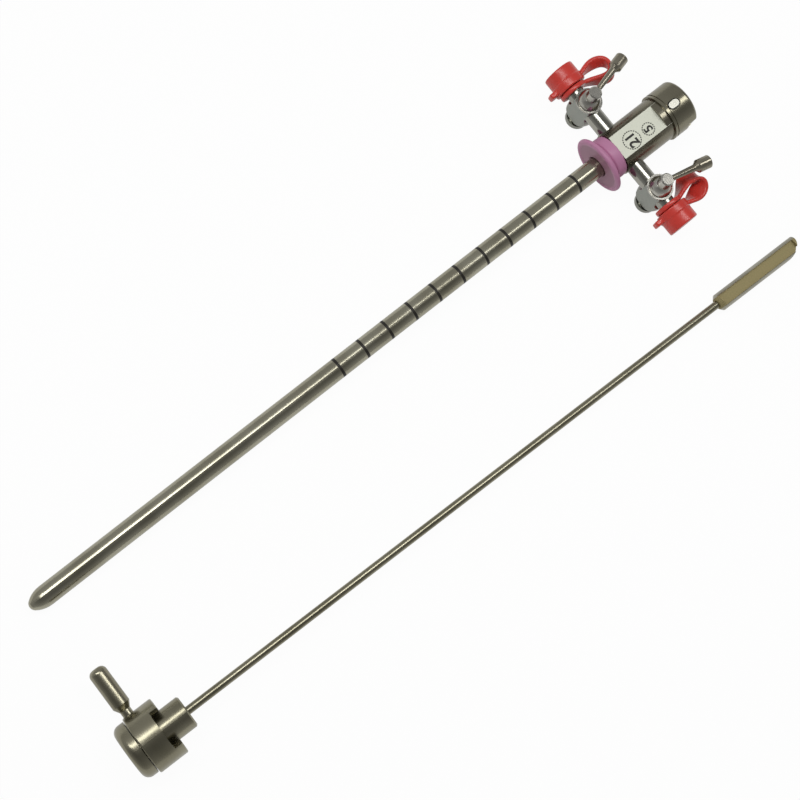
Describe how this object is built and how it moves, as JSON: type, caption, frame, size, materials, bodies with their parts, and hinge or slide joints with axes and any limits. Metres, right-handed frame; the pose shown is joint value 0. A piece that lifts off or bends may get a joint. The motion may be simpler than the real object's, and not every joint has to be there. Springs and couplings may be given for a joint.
{
  "type": "cystoscope sheath",
  "caption": "Cystoscope sheath: long thin steel tube on a turned hub with side stopcocks, soft luer caps and a rear socket, and the obturator that fits it lying beside it.",
  "frame": {"origin": "centre of the mouth of the rear socket, on the axis of the sheath", "axes": "+X along the sheath's axis out of the rear socket, so the tip points to -X; +Z out of the ground flat of the hub; +Y along the left port"},
  "size_m": [0.2755, 0.0978, 0.0293],
  "materials": {
    "tube_steel": "polished drawn stainless tube, with dark depth marks",
    "hub_steel": "polished turned stainless steel",
    "stopcock_steel": "polished, ground matte on the flat",
    "bright_steel": "bright polished stainless steel",
    "obturator_steel": "polished turned stainless steel",
    "guard_rubber": "smooth matte mauve silicone rubber",
    "cap_silicone": "satin red silicone",
    "seal_rubber": "black rubber"
  },
  "bodies": {
    "sheath": {"sheath_tube": "tube_steel", "guard_collar": "guard_rubber", "hub_body": "hub_steel", "coupling_collar": "hub_steel", "guide_key": "bright_steel", "seal_ring": "seal_rubber", "port_arm_left": "hub_steel", "stopcock_barrel_left": "stopcock_steel", "luer_port_left": "hub_steel", "strap_ring_left": "cap_silicone", "cap_strap_left": "cap_silicone", "port_arm_right": "hub_steel", "stopcock_barrel_right": "stopcock_steel", "luer_port_right": "hub_steel", "strap_ring_right": "cap_silicone", "cap_strap_right": "cap_silicone"},
    "key_left": {"stopcock_key_left": "bright_steel", "key_lever_left": "bright_steel", "spring_washer_left": "bright_steel", "key_nut_left": "bright_steel"},
    "key_right": {"stopcock_key_right": "bright_steel", "key_lever_right": "bright_steel", "spring_washer_right": "bright_steel", "key_nut_right": "bright_steel"},
    "cap_left": {"luer_cap_left": "cap_silicone"},
    "cap_right": {"luer_cap_right": "cap_silicone"},
    "obturator": {"obturator_rod": "obturator_steel", "obturator_tip": "obturator_steel", "coupling_plug": "obturator_steel", "rear_cap": "obturator_steel", "stop_pin": "bright_steel"},
    "lock": {"lock_ring": "obturator_steel", "lock_lever": "obturator_steel"}
  },
  "joints": [
    {"name": "key_left_turn", "type": "hinge", "parent": "sheath", "child": "key_left", "pos_m": [-0.0267, 0.0185, 0], "axis": [0.1219, 0, 0.9925], "range_deg": [-14.5, 75.5]},
    {"name": "key_right_turn", "type": "hinge", "parent": "sheath", "child": "key_right", "pos_m": [-0.0267, -0.0185, 0], "axis": [0.1219, 0, 0.9925], "range_deg": [-78.5, 11.5]},
    {"name": "cap_left_pull", "type": "slide", "parent": "sheath", "child": "cap_left", "axis": [0, 1, 0], "range_m": [0, 0.012], "deforming": ["cap_strap_left"]},
    {"name": "cap_right_pull", "type": "slide", "parent": "sheath", "child": "cap_right", "axis": [0, -1, 0], "range_m": [0, 0.012], "deforming": ["cap_strap_right"]},
    {"name": "obturator_lift", "type": "slide", "parent": "sheath", "child": "obturator", "axis": [0, 0, 1], "range_m": [0, 0.06]},
    {"name": "lock_turn", "type": "hinge", "parent": "obturator", "child": "lock", "pos_m": [-0.26309, -0.0543, 0.0066], "axis": [0.9978, -0.027, -0.0603], "range_deg": [0, 40]}
  ]
}
